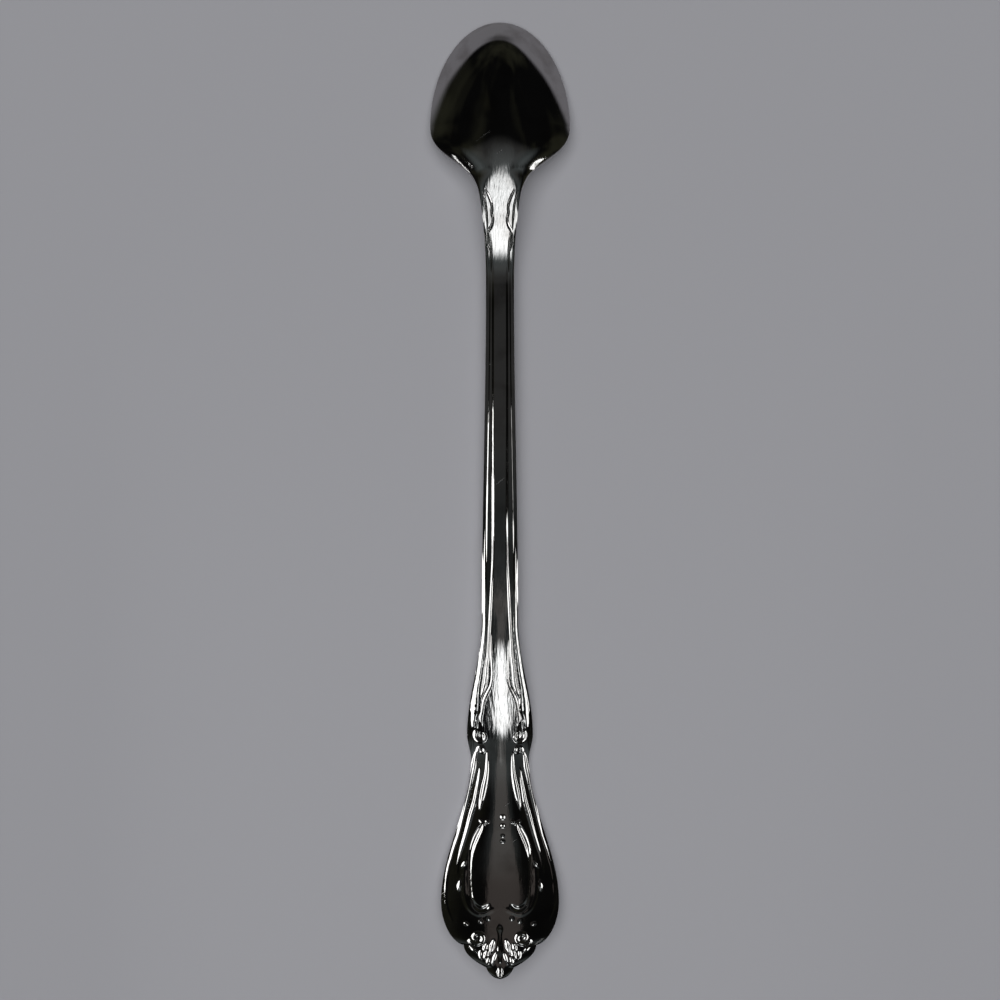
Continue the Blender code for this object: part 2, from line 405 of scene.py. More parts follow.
def tip_spokes(count):
    """The same half sections, turned about the top of the bowl from one side, round its tip, to the other."""
    turn = np.linspace(0.0, math.pi, count + 1)[:, None]
    half, length = width("bowl") / 2, WIDEST
    rim_face = face_height(WIDEST - length * np.sin(turn))
    back_face = face_height(WIDEST - BACK_SHARES * length * np.sin(turn))
    low = back_face + RIM_EDGE
    curve = DOME_SIDE_CURVE + (DOME_TIP_CURVE - DOME_SIDE_CURVE) * np.sin(turn) ** TIP_BLEND
    run = RIM_ROUND
    inset = [
        flat(run * (1.0 - math.cos(ARC_START)), BACK_SHARES),
        run * (1.0 - np.cos(ARC_ANGLES)),
        run + (RIM_LAND - run) * LAND_SHARES,
        flat(RIM_LAND, HOLLOW_SHARES),
    ]
    share = [BACK_SHARES, flat(1.0, ARC_ANGLES), flat(1.0, LAND_SHARES), HOLLOW_SHARES]
    height = [
        low + (BOWL_TOP - low) * (1.0 - BACK_SHARES**curve),
        arc_heights(rim_face + RIM_EDGE, rim_face),
        flat(rim_face, LAND_SHARES),
        rim_face + (BOWL_DEPTH - rim_face) * (1.0 - HOLLOW_SHARES**curve),
    ]
    inset, share = np.concatenate(inset), np.concatenate(share)
    across = share * (half - inset) * np.cos(turn)
    forward = share * (length - inset) * np.sin(turn)
    height = np.concatenate(height, axis=1)
    return across, WIDEST - forward, height, flat(0.0, across)


print("points in a spoke", tip_spokes(2)[0].shape[1])

# %% [markdown]
# A zone is lofted through its sections: each half section and its mirror image make a ring, and quads join
# one ring to the next. The fan and the loft share their first section, and merging doubles closes the seam
# and the pole. The two ends get one flat face each, so every skin is a closed body.

# %% Loft
SHARP_ANGLE = math.radians(35)
MERGE_REACH = 0.000001
SEAM_STEP = 0.00001


def with_seams(places):
    """A row just inside each end too, so that the shading at a cut is that of the cut itself."""
    second, second_last = [places[0] + SEAM_STEP], [places[-1] - SEAM_STEP]
    return np.concatenate((places[:1], second, places[1:-1], second_last, places[-1:]))


def full_rings(halves):
    """Each half section with its mirror image, as a closed ring."""
    across, place, height, press = halves
    mirrored = slice(-2, 0, -1)
    return (
        np.concatenate((across, -across[:, mirrored]), axis=1),
        np.concatenate((place, place[:, mirrored]), axis=1),
        np.concatenate((height, height[:, mirrored]), axis=1),
        np.concatenate((press, press[:, mirrored]), axis=1),
    )


def grid_faces(rows, columns, first, closed):
    """Quads of a grid of points, numbered row by row."""
    faces = []
    last = columns if closed else columns - 1
    for row in range(rows - 1):
        here = first + row * columns
        below = here + columns
        for column in range(last):
            following = (column + 1) % columns
            faces.append((here + column, here + following, below + following, below + column))
    return faces


def clean(data):
    """Merges doubles, turns all faces outwards, and shades the sides smooth and the end faces flat."""
    merged = bmesh.new()
    merged.from_mesh(data)
    bmesh.ops.remove_doubles(merged, verts=merged.verts, dist=MERGE_REACH)
    bmesh.ops.recalc_face_normals(merged, faces=merged.faces)
    for face in merged.faces:
        face.smooth = len(face.verts) <= 4
    for edge in merged.edges:
        edge.smooth = edge.calc_face_angle(0.0) < SHARP_ANGLE
    merged.to_mesh(data)
    merged.free()


def skin(zone, places, spokes=0):
    """A closed skin through the sections at these places, with a fan of spokes before them."""
    blocks = [full_rings(half_sections(with_seams(places)))]
    rows, columns = blocks[0][0].shape
    faces = grid_faces(rows, columns, 0, True)
    faces.append(tuple(range((rows - 1) * columns, rows * columns)))
    if spokes:
        fan = tip_spokes(spokes)
        faces += grid_faces(fan[0].shape[0], fan[0].shape[1], rows * columns, False)
        blocks.append(fan)
    else:
        faces.append(tuple(reversed(range(columns))))
    across, place, height, press = (np.concatenate([block[i].ravel() for block in blocks]) for i in range(4))
    points = np.stack((across, TIP_Y - place, height), axis=1)
    data = bpy.data.meshes.new(zone + "_skin")
    data.from_pydata(points.tolist(), [], faces)
    data.attributes.new("press", "FLOAT", "POINT").data.foreach_set("value", press.astype(np.float32))
    clean(data)
    piece = bpy.data.objects.new(zone + "_skin", data)
    bpy.context.scene.collection.objects.link(piece)
    return piece


print("edges sharper than", round(math.degrees(SHARP_ANGLE)), "degrees stay sharp")

# %% [markdown]
# The ornament is struck into these skins later, so rows lie close together where it is fine. The plain stem
# needs fewer. Where the blade's shoulder turns in to the notch, the outline runs nearly straight across, and
# even rows would leave a jagged edge: there they crowd together as the points of a turning arm do.

# %% Skins over the zones
ROW_STEP = 0.0001
STEM_ROW_STEP = 0.0003
SHELL_ROW_STEP = 0.00008
SHOULDER_ROWS = 70
FAN_SPOKES = 160


def rows_between(start, finish, step):
    """Evenly spaced places, no further apart than the step."""
    return np.linspace(start, finish, math.ceil((finish - start) / step) + 1)


def blade_rows():
    """Even rows along the blade, then closer and closer ones where the shoulder turns in to the notch."""
    turn = np.linspace(0.0, math.pi / 2, SHOULDER_ROWS)
    shoulder = BLADE_WIDEST + (NOTCH - BLADE_WIDEST) * np.sin(turn)
    return np.concatenate((rows_between(WAIST, BLADE_WIDEST, ROW_STEP)[:-1], shoulder))


skins = {
    "bowl": skin("bowl", rows_between(WIDEST, NECK_START, ROW_STEP), FAN_SPOKES),
    "neck": skin("neck", rows_between(NECK_START, STEM_START, ROW_STEP)),
    "stem": skin("stem", rows_between(STEM_START, STEM_END, STEM_ROW_STEP)),
    "scroll_swell": skin("scroll_swell", rows_between(STEM_END, WAIST, ROW_STEP)),
    "blade": skin("blade", blade_rows()),
    "shell_tip": skin("shell_tip", rows_between(NOTCH, END, SHELL_ROW_STEP)),
}
for zone, piece in skins.items():
    print(zone, "skin has", len(piece.data.polygons), "faces")

# %% [markdown]
# The ornament of such a spoon is struck with a steel die: threads along the edges, leaves, scrolls, a heart
# and a small shell. It could be sculpted or painted as a bump, but a bump has no outline and no true shadow.
# Here too a die is made first, as tapered strokes drawn flat. Each stroke is a few (across, place, radius)
# points in millimetres, and its mirror image is drawn on the other side. How much of a stroke stands above
# the ground decides if it is a round thread or a low swelling.

# %% Strokes of the die
MM = 0.001
ROUND = 0.75  # shares of a stroke's radius that stand above the ground
ENGRAVED = 0.9
GRAIN_END = 0.8  # radius of a grain's ends, as a share of its own
strokes = []  # stand out
cuts = []  # go in


def both_sides(points, stands):
    """A stroke on the left, and its mirror image on the right."""
    return [[(side * across, place, radius, stands) for across, place, radius in points] for side in (-1, 1)]


def stroke(points, stands=ROUND):
    """A raised stroke on both sides."""
    strokes.extend(both_sides(points, stands))


def cut(points, stands=ENGRAVED):
    """An engraved line on both sides."""
    cuts.extend(both_sides(points, stands))


def middle_stroke(points, stands=ROUND):
    """A raised stroke that is drawn once, along the middle or near it."""
    strokes.append([(across, place, radius, stands) for across, place, radius in points])


def grain(across, place, radius):
    """The points of a round grain."""
    first, last = ((across, place + turn * radius / 2, radius * GRAIN_END) for turn in (-1, 1))
    return first, (across, place, radius), last


def print_count(part):
    """Says how far the die has come."""
    print(part, "drawn:", len(strokes), "raised strokes and", len(cuts), "cuts so far")


print("points of a grain", grain(0.0, 1.0, 0.5))

# %% [markdown]
# Threads are the raised lines that run beside the edge. The one along the stem's end and the swelling follows
# the outline closely, so it is worked out from the outline at an inset. The others wander off it, and are
# drawn through a few listed points.

# %% Threads along the edges
THREAD_POINTS = 26
THREAD_STEP = 0.01  # millimetres to each side over which the outline's slope is measured
THREAD_STANDS = 0.3
THREAD_SPAN = (73.0, 103.9)
THREAD_INSETS = ((73.0, 0.4), (80, 0.42), (86, 0.45), (92, 0.5), (97.5, 0.75), (101.5, 1.05), (103.9, 0.9))
THREAD_RADII = ((73.0, 0.1), (80, 0.25), (86, 0.32), (92, 0.42), (97.5, 0.6), (101, 1.15), (103.9, 0.3))


def thread(start, finish, inset_stations, radius_stations, stands):
    """A stroke that follows the outline at an inset."""
    places = np.linspace(start, finish, THREAD_POINTS)
    ahead = half_width((places + THREAD_STEP) * MM)
    slope = (ahead - half_width((places - THREAD_STEP) * MM)) / (2 * THREAD_STEP * MM)
    inset = along(places, inset_stations) * np.sqrt(1.0 + slope**2)
    across = half_width(places * MM) / MM - inset
    radius = along(places, radius_stations)
    stroke(list(zip(across, places, radius)), stands)


thread(*THREAD_SPAN, THREAD_INSETS, THREAD_RADII, THREAD_STANDS)
stroke(
    ((1.0, 75.5, 0.04), (1.07, 79.2, 0.13), (1.29, 84.5, 0.17), (1.43, 87.4, 0.17), (1.62, 90.9, 0.17),
     (1.74, 93.1, 0.2), (1.95, 94.7, 0.26), (2.24, 97.4, 0.33), (2.83, 99.4, 0.08))
)
stroke(
    ((3.42, 107.2, 0.06), (3.64, 108.2, 0.22), (3.83, 109.6, 0.32), (4.15, 111.1, 0.3), (4.77, 114.0, 0.26),
     (5.44, 116.9, 0.18), (5.98, 119.1, 0.13), (7.08, 122.6, 0.12), (7.73, 125.2, 0.11), (7.95, 127.5, 0.1),
     (7.87, 129.7, 0.09), (7.06, 131.9, 0.05))
)
stroke(
    ((2.95, 109.8, 0.05), (3.08, 111.2, 0.16), (3.37, 113.0, 0.22), (3.71, 114.9, 0.28), (4.22, 116.6, 0.28),
     (4.81, 118.8, 0.22), (5.47, 121.0, 0.17), (6.05, 123.0, 0.1), (6.35, 125.0, 0.05))
)
stroke(
    ((1.86, 107.5, 0.1), (1.86, 108.9, 0.2), (1.98, 110.8, 0.28), (2.30, 112.5, 0.38), (2.60, 114.0, 0.34),
     (2.83, 115.0, 0.2), (2.98, 115.9, 0.05))
)
print_count("threads")

# %% [markdown]
# Slim leaves lie along both sides of the neck. They are not raised but outlined with engraved lines, so they
# are cuts: the same kind of stroke, which goes into the steel instead of standing on it.

# %% Leaves on the neck
cut(((2.65, 25.5, 0.04), (2.29, 26.6, 0.1), (2.03, 27.9, 0.12), (1.89, 29.5, 0.12), (1.82, 31.0, 0.05)))
cut(
    ((2.15, 25.3, 0.05), (1.57, 26.5, 0.14), (1.18, 27.8, 0.15), (1.21, 28.7, 0.15), (1.03, 29.6, 0.15),
     (1.24, 30.5, 0.15), (1.64, 31.2, 0.14), (1.79, 32.2, 0.12), (1.76, 33.0, 0.1), (1.50, 33.9, 0.04))
)
cut(((1.62, 30.9, 0.05), (1.46, 32.2, 0.15), (1.32, 33.6, 0.16), (1.27, 35.2, 0.14), (1.3, 37.0, 0.04)))
print_count("leaves on the neck")

# %% [markdown]
# At the swelling leaves follow each side, and a large and a small scroll stand before the waist. A scroll is
# a line that winds in, so it is worked out from a radius that shrinks as the angle turns, and not drawn point
# by point.

# %% Leaves and scrolls of the swell
SCROLL_POINTS = 22
SCROLL_WIND = 0.68  # share of its radius that a scroll winds in
SCROLL_TAPER = 0.3


def scroll(across, place, radius, thickness, start, turn, squash=1.0):
    """A stroke that winds in to a bead."""
    points = []
    for i in range(SCROLL_POINTS + 1):
        share = i / SCROLL_POINTS
        angle = math.radians(start + turn * share)
        reach = radius * (1.0 - SCROLL_WIND * share)
        point_across = across + reach * math.cos(angle)
        point_place = place + squash * reach * math.sin(angle)
        points.append((point_across, point_place, thickness * (1.0 - SCROLL_TAPER * share)))
    stroke(points)


stroke(
    ((1.24, 90.0, 0.04), (1.27, 92.4, 0.12), (1.30, 97.4, 0.13), (1.87, 98.7, 0.16), (2.31, 99.7, 0.17),
     (2.68, 101.6, 0.17), (2.83, 102.5, 0.17), (2.62, 103.5, 0.06))
)
stroke(((2.31, 93.8, 0.05), (2.60, 94.9, 0.15), (2.91, 95.7, 0.05)))
stroke(((3.06, 101.0, 0.06), (3.37, 101.4, 0.18), (3.66, 101.8, 0.06)))
stroke(((3.27, 102.2, 0.06), (3.49, 103.0, 0.2), (3.37, 104.0, 0.06)))
scroll(across=2.68, place=105.1, radius=1.1, thickness=0.24, start=-40, turn=280)
cut(((2.68, 104.6, 0.2), (2.68, 105.0, 0.45), (2.68, 105.4, 0.2)))
scroll(across=2.68, place=107.2, radius=0.62, thickness=0.2, start=20, turn=-350)
print_count("leaves and scrolls of the swell")

# %% [markdown]
# The blade carries a heart. Its border is a broad, very low swelling with an engraved line along its inner
# side, whose edges catch the light. Small leaves and grains stand beside it.

# %% Heart on the blade
HEART_STANDS = 0.04
DOTS_STAND = 0.85
DOTS_ACROSS = 0.4  # the row of grains stands a little to the right of the middle
stroke(
    ((2.8, 118.3, 0.2), (3.4, 119.0, 0.6), (4.2, 120.6, 1.0), (4.9, 122.6, 1.4), (5.25, 124.9, 1.7),
     (5.25, 127.2, 1.8), (4.9, 129.0, 1.8), (4.2, 130.2, 1.8), (3.1, 130.8, 1.8), (2.0, 130.6, 1.7),
     (0.95, 130.2, 1.6), (0.0, 129.9, 1.4)),
    HEART_STANDS,
)
cut(
    ((2.6, 118.0, 0.1), (2.95, 118.7, 0.3), (3.6, 120.0, 0.36), (4.1, 121.4, 0.3), (4.3, 122.8, 0.14),
     (4.4, 125.0, 0.12), (4.3, 127.4, 0.12), (4.0, 129.0, 0.16), (3.4, 129.9, 0.24), (2.7, 130.2, 0.28),
     (1.9, 129.9, 0.24), (1.5, 129.5, 0.08))
)
stroke(((3.06, 117.2, 0.06), (2.68, 117.7, 0.22), (2.17, 117.9, 0.18)))
stroke(grain(1.89, 117.6, 0.3))
stroke(((4.88, 123.2, 0.06), (5.24, 123.7, 0.2), (5.68, 124.3, 0.08)))
stroke(((5.75, 125.9, 0.08), (5.95, 126.9, 0.27), (6.0, 127.7, 0.08)))
for place, radius in ((116.9, 0.36), (118.2, 0.32), (119.6, 0.22), (120.4, 0.28)):
    middle_stroke(grain(DOTS_ACROSS, place, radius), DOTS_STAND)
print_count("heart")

# %% [markdown]
# The shell that closes the handle has a scroll on each side, short petals between and beside them, a low rib
# down the middle and a bud at the very end. The upper half of each petal's round body stands out, so petals
# are steeper than threads, and each shows its own small lights.

# %% Shell at the end
PETAL_STANDS = 1.0
RIB_STANDS = 0.2
PETALS = (
    ((0.85, 134.4, 0.1), (1.14, 135.4, 0.36), (1.43, 136.4, 0.1)),
    ((0.44, 136.1, 0.08), (0.77, 136.9, 0.22), (1.17, 138.0, 0.08)),
    ((1.85, 135.0, 0.1), (2.16, 135.6, 0.32), (2.40, 136.0, 0.1)),
    ((1.72, 135.9, 0.1), (1.97, 136.5, 0.34), (2.30, 137.2, 0.1)),
    ((4.42, 135.4, 0.08), (3.91, 135.8, 0.2), (3.32, 136.3, 0.08)),
    ((1.50, 136.8, 0.08), (1.75, 137.5, 0.24), (1.94, 137.9, 0.08)),
    ((2.75, 135.9, 0.08), (2.9, 136.5, 0.22), (2.8, 137.2, 0.08)),
)
scroll(across=3.33, place=134.2, radius=1.2, thickness=0.34, start=20, turn=400, squash=0.8)
for petal in PETALS:
    stroke(petal, PETAL_STANDS)
for across, place, radius in ((4.97, 132.2, 0.32), (1.72, 131.5, 0.28), (2.89, 131.9, 0.28)):
    stroke(grain(across, place, radius))
middle_stroke(((0, 131.4, 0.1), (0, 132.8, 0.7), (0, 136, 0.8), (0, 137.8, 0.6), (0, 138.3, 0.2)), RIB_STANDS)
middle_stroke(((0, 138.5, 0.3), (0, 139.1, 0.55), (0, 139.6, 0.3)))
print_count("shell")

# %% [markdown]
# Geometry Nodes turn the strokes into bodies. A tree made in a script needs the same few moves each time: a
# tree with named inputs, a node with its settings, an input set through its socket's identifier, and an end
# that makes the geometry real and gives it a material. These helpers do that.

# %% Helpers for node trees


def tree_with(name, sizes):
    """A geometry node tree with a geometry in and out, and named inputs of the given kinds."""
    tree = bpy.data.node_groups.new(name, "GeometryNodeTree")
    tree.interface.new_socket("Geometry", in_out="INPUT", socket_type="NodeSocketGeometry")
    tree.interface.new_socket("Geometry", in_out="OUTPUT", socket_type="NodeSocketGeometry")
    for size, kind in sizes:
        tree.interface.new_socket(size, in_out="INPUT", socket_type=kind)
    return tree, tree.nodes.new("NodeGroupInput"), tree.nodes.new("NodeGroupOutput")


def add(tree, kind, **settings):
    """A node with its settings."""
    node = tree.nodes.new(kind)
    for setting, value in settings.items():
        setattr(node, setting, value)
    return node


def finish_with_steel(tree, geometry, given, result):
    """The end of every tree: real geometry, in the material that is given."""
    real = add(tree, "GeometryNodeRealizeInstances")
    painted = add(tree, "GeometryNodeSetMaterial")
    tree.links.new(geometry, real.inputs["Geometry"])
    tree.links.new(real.outputs["Geometry"], painted.inputs["Geometry"])
    tree.links.new(given.outputs["Material"], painted.inputs["Material"])
    tree.links.new(painted.outputs["Geometry"], result.inputs["Geometry"])


def set_input(modifier, name, value):
    """Sets a modifier's input by the identifier of the socket with this name."""
    for socket in modifier.node_group.interface.items_tree:
        if socket.in_out == "INPUT" and socket.name == name:
            modifier[socket.identifier] = value


def evaluated_mesh(piece):
    """The mesh that the piece's modifiers make."""
    graph = bpy.context.evaluated_depsgraph_get()
    return bpy.data.meshes.new_from_object(piece.evaluated_get(graph), depsgraph=graph)


# %% [markdown]
# A small node tree gives every stroke its round body: a circle is swept along the curve, scaled by the
# curve's own radius, and the whole die is then flattened, because struck relief is lower than it is wide.
# The raised strokes make the die, and the cuts make a graver in the same way.

# %% The die
DIE_SIDES = 24
DIE_FLATNESS = 0.75
STROKE_STEPS = 8  # straight pieces between two points of a stroke


def die_tree():
    """Sweeps a circle along the strokes and flattens the result."""
    sizes = (("Sides", "NodeSocketInt"), ("Flatness", "NodeSocketFloat"), ("Material", "NodeSocketMaterial"))
    tree, given, result = tree_with("stamping_die", sizes)
    circle = add(tree, "GeometryNodeCurvePrimitiveCircle")
    circle.inputs["Radius"].default_value = 1.0
    radius = add(tree, "GeometryNodeInputRadius")
    sweep = add(tree, "GeometryNodeCurveToMesh")
    sweep.inputs["Fill Caps"].default_value = True
    scale = add(tree, "ShaderNodeCombineXYZ")
    scale.inputs["X"].default_value = 1.0
    scale.inputs["Y"].default_value = 1.0
    flattened = add(tree, "GeometryNodeTransform")
    link = tree.links.new
    link(given.outputs["Sides"], circle.inputs["Resolution"])
    link(given.outputs["Geometry"], sweep.inputs["Curve"])
    link(circle.outputs["Curve"], sweep.inputs["Profile Curve"])
    link(radius.outputs["Radius"], sweep.inputs["Scale"])
    link(given.outputs["Flatness"], scale.inputs["Z"])
    link(sweep.outputs["Mesh"], flattened.inputs["Geometry"])
    link(scale.outputs["Vector"], flattened.inputs["Scale"])
    finish_with_steel(tree, flattened.outputs["Geometry"], given, result)
    return tree


def drawn_strokes(name, lines):
    """The strokes as smooth curves, each point sunk so that only the wanted share stands out."""
    data = bpy.data.curves.new(name, "CURVE")
    data.dimensions = "3D"
    for points in lines:
        spline = data.splines.new("BEZIER")
        spline.resolution_u = STROKE_STEPS
        spline.bezier_points.add(len(points) - 1)
        for knot, (across, place, radius, stands) in zip(spline.bezier_points, points):
            knot.co = (across * MM, TIP_Y - place * MM, -(1.0 - stands) * radius * MM)
            knot.radius = radius * MM
            knot.handle_left_type = "AUTO"
            knot.handle_right_type = "AUTO"
    drawing = bpy.data.objects.new(name, data)
    bpy.context.scene.collection.objects.link(drawing)
    return drawing


def formed(name, lines, bodies):
    """A die, or a graver, with the bodies that the tree gives to these strokes."""
    drawing = drawn_strokes(name + "_strokes", lines)
    forming = drawing.modifiers.new("stamping_die", "NODES")
    forming.node_group = bodies
    set_input(forming, "Sides", DIE_SIDES)
    set_input(forming, "Flatness", DIE_FLATNESS)
    body = bpy.data.objects.new(name, evaluated_mesh(drawing))
    bpy.data.objects.remove(drawing)
    bpy.context.scene.collection.objects.link(body)
    print(name, "has", len(body.data.polygons), "faces, highest", max(v.co.z for v in body.data.vertices))
    return body


round_bodies = die_tree()
die = formed("die", strokes, round_bodies)
graver = formed("graver", cuts, round_bodies)

# %% [markdown]
# Shader trees need a few moves of their own: a sum, noise, and a range that turns one span of values into
# another. The steel, the lamps and the sky all use them.

# %% Helpers for shaders


def calculate(tree, operation, first, second):
    """A sum with two values, each a socket or a number."""
    node = add(tree, "ShaderNodeMath", operation=operation)
    for socket, value in zip(node.inputs, (first, second)):
        if isinstance(value, float):
            socket.default_value = value
        else:
            tree.links.new(value, socket)
    return node.outputs["Value"]


def noise(tree, place, scale, detail):
    """Noise of this scale and detail."""
    node = add(tree, "ShaderNodeTexNoise")
    node.inputs["Scale"].default_value = scale
    node.inputs["Detail"].default_value = detail
    tree.links.new(place, node.inputs["Vector"])
    return node.outputs["Fac"]


def ranged(tree, value, start, finish, least=0.0, most=1.0, kind="LINEAR"):
    """The least value before start, the most after finish, and a slope between them."""
    node = add(tree, "ShaderNodeMapRange", interpolation_type=kind)
    limits = {"From Min": start, "From Max": finish, "To Min": least, "To Max": most}
    for socket, limit in limits.items():
        node.inputs[socket].default_value = limit
    tree.links.new(value, node.inputs["Value"])
    return node.outputs["Result"]


def soft_step(tree, value, start, finish, least=0.0):
    """The least value before start, 1 after finish, and a soft step between them."""
    return ranged(tree, value, start, finish, least, kind="SMOOTHSTEP")


# %% [markdown]
# The steel is polished all over. What is left of the polishing are fine marks along the spoon: noise that is
# stretched along Y, as a bump. Bowl and blade are polished finer, so a ramp along the spoon makes the marks
# faint there. Wear is a coarser noise, which shifts tone and gloss a little. A few slanted scuffs come from
# the highest peaks of a third noise. All of it reads Object coordinates, so it stays put in every view.

# %% Scuffs
SCUFF_TURN = math.radians(38)
SCUFF_SIZE = (0.0030, 0.0004, 0.0015)
SCUFF_FROM = 0.83  # only the highest of the noise makes a scuff
SCUFF_FADE = 0.03
SCUFF_ROUGH = 0.22


def scuffs(tree, place):
    """Roughness that a few slanted scuffs add."""
    turned = add(tree, "ShaderNodeMapping", vector_type="TEXTURE")
    turned.inputs["Rotation"].default_value = (0.0, 0.0, SCUFF_TURN)
    turned.inputs["Scale"].default_value = SCUFF_SIZE
    tree.links.new(place, turned.inputs["Vector"])
    peaks = noise(tree, turned.outputs["Vector"], 1.0, 0.0)
    return ranged(tree, peaks, SCUFF_FROM, SCUFF_FROM + SCUFF_FADE, most=SCUFF_ROUGH)


print("scuffs add up to", SCUFF_ROUGH, "of roughness")

# %% Tone of the steel
STEEL_DULL = (0.46, 0.445, 0.43, 1.0)
STEEL_BRIGHT = (0.66, 0.655, 0.645, 1.0)
STEEL_TINTS = ((0.25, STEEL_DULL), (0.5, STEEL_BRIGHT))


def worn_tint(tree, wear):
    """Tone of the steel, from dull to bright."""
    tint = add(tree, "ShaderNodeValToRGB")
    for stop, (position, colour) in zip(tint.color_ramp.elements, STEEL_TINTS):
        stop.position = position
        stop.color = colour
    tree.links.new(wear, tint.inputs["Fac"])
    return tint.outputs["Color"]


print("steel from", STEEL_DULL[:3], "to", STEEL_BRIGHT[:3])

# %% Polishing marks
MARK_SCALE = (3300.0, 350.0, 3300.0)  # marks across, along and up, in each metre
MARK_DETAIL = 3.0
MARK_DEPTH = 0.000016
MARK_STATIONS = (  # how much of the marks is left
    (WIDEST, 0.15),
    (NECK_START, 0.8),
    (STEM_START, 0.5),
    (STEM_END, 1.0),
    (SCROLLS, 1.0),
    (WAIST, 0.3),
    (BLADE_WIDEST, 0.15),
)


def polishing_marks(tree, place):
    """Fine marks along the spoon, as a bump that is fainter on the bowl and the blade."""
    stretch = add(tree, "ShaderNodeMapping")
    stretch.inputs["Scale"].default_value = MARK_SCALE
    split = add(tree, "ShaderNodeSeparateXYZ")
    strength = add(tree, "ShaderNodeValToRGB")
    stops = strength.color_ramp.elements
    while len(stops) < len(MARK_STATIONS):
        stops.new(1.0)
    for stop, (station, left) in zip(stops, MARK_STATIONS):
        stop.position = station / END
        stop.color = (left, left, left, 1.0)
    bump = add(tree, "ShaderNodeBump")
    bump.inputs["Distance"].default_value = MARK_DEPTH
    link = tree.links.new
    link(place, stretch.inputs["Vector"])
    link(place, split.inputs["Vector"])
    link(ranged(tree, split.outputs["Y"], TIP_Y, TIP_Y - END), strength.inputs["Fac"])
    link(strength.outputs["Color"], bump.inputs["Strength"])
    link(noise(tree, stretch.outputs["Vector"], 1.0, MARK_DETAIL), bump.inputs["Height"])
    return bump.outputs["Normal"]


print("marks are about", round(1.0 / MARK_SCALE[0], 5), "metres wide")

# %% Polished steel
WEAR_SCALE = 260.0
WEAR_DETAIL = 4.0
WEAR_RANGE = (0.3, 0.7)
ROUGHNESS = (0.03, 0.09)


def polished_steel():
    """Metal with wear in its tone and gloss, a few scuffs, and polishing marks along the spoon."""
    material = bpy.data.materials.new("polished_steel")
    material.use_nodes = True
    tree = material.node_tree
    shader = tree.nodes["Principled BSDF"]
    shader.inputs["Metallic"].default_value = 1.0
    place = add(tree, "ShaderNodeTexCoord").outputs["Object"]
    wear = noise(tree, place, WEAR_SCALE, WEAR_DETAIL)
    rough = calculate(tree, "ADD", ranged(tree, wear, *WEAR_RANGE, *ROUGHNESS), scuffs(tree, place))
    tree.links.new(rough, shader.inputs["Roughness"])
    tree.links.new(worn_tint(tree, wear), shader.inputs["Base Color"])
    tree.links.new(polishing_marks(tree, place), shader.inputs["Normal"])
    return material


steel = polished_steel()
print("steel nodes", len(steel.node_tree.nodes))

# %% [markdown]
# The press lowers a ray on the die from above every point of a skin. Where it hits, the point is raised by
# the height of the die there, and the graver lowers it in the same way. Boolean modifiers could join the
# strokes to the skin, but they would leave hard creases. A little blur between neighbours rounds the relief,
# as polishing does.

# %% Tree of the press
PRESS_HEIGHT = 0.01  # the rays start this far up


def height_of(tree, tool, points):
    """Height of a tool over each point, or 0 where it does not reach."""
    link = tree.links.new
    info = add(tree, "GeometryNodeObjectInfo")
    ray = add(tree, "GeometryNodeRaycast")
    ray.inputs["Ray Direction"].default_value = (0.0, 0.0, -1.0)
    ray.inputs["Ray Length"].default_value = PRESS_HEIGHT
    hit = add(tree, "ShaderNodeSeparateXYZ")
    met = add(tree, "ShaderNodeMath", operation="MULTIPLY")
    ground = add(tree, "ShaderNodeMath", operation="MAXIMUM")
    ground.inputs[1].default_value = 0.0
    link(tool, info.inputs["Object"])
    link(info.outputs["Geometry"], ray.inputs["Target Geometry"])
    link(points, ray.inputs["Source Position"])
    link(ray.outputs["Hit Position"], hit.inputs["Vector"])
    link(hit.outputs["Z"], met.inputs[0])
    link(ray.outputs["Is Hit"], met.inputs[1])
    link(met.outputs["Value"], ground.inputs[0])
    return ground.outputs["Value"]


def press_tree():
    """Raises a skin by the die and lowers it by the graver, as far as its press value allows."""
    sizes = (
        ("Die", "NodeSocketObject"),
        ("Graver", "NodeSocketObject"),
        ("Softness", "NodeSocketInt"),
        ("Material", "NodeSocketMaterial"),
    )
    tree, given, result = tree_with("press", sizes)
    link = tree.links.new
    position = add(tree, "GeometryNodeInputPosition")
    split = add(tree, "ShaderNodeSeparateXYZ")
    above = add(tree, "ShaderNodeCombineXYZ")
    above.inputs["Z"].default_value = PRESS_HEIGHT
    relief = add(tree, "ShaderNodeMath", operation="SUBTRACT")
    soft = add(tree, "GeometryNodeBlurAttribute")
    share = add(tree, "GeometryNodeInputNamedAttribute", data_type="FLOAT")
    share.inputs["Name"].default_value = "press"
    raised = add(tree, "ShaderNodeMath", operation="MULTIPLY")
    up = add(tree, "ShaderNodeCombineXYZ")
    shift = add(tree, "GeometryNodeSetPosition")
    link(position.outputs["Position"], split.inputs["Vector"])
    link(split.outputs["X"], above.inputs["X"])
    link(split.outputs["Y"], above.inputs["Y"])
    link(height_of(tree, given.outputs["Die"], above.outputs["Vector"]), relief.inputs[0])
    link(height_of(tree, given.outputs["Graver"], above.outputs["Vector"]), relief.inputs[1])
    link(relief.outputs["Value"], soft.inputs["Value"])
    link(given.outputs["Softness"], soft.inputs["Iterations"])
    link(soft.outputs["Value"], raised.inputs[0])
    link(share.outputs["Attribute"], raised.inputs[1])
    link(raised.outputs["Value"], up.inputs["Z"])
    link(given.outputs["Geometry"], shift.inputs["Geometry"])
    link(up.outputs["Vector"], shift.inputs["Offset"])
    finish_with_steel(tree, shift.outputs["Geometry"], given, result)
    return tree


press = press_tree()
print("press nodes", len(press.nodes))

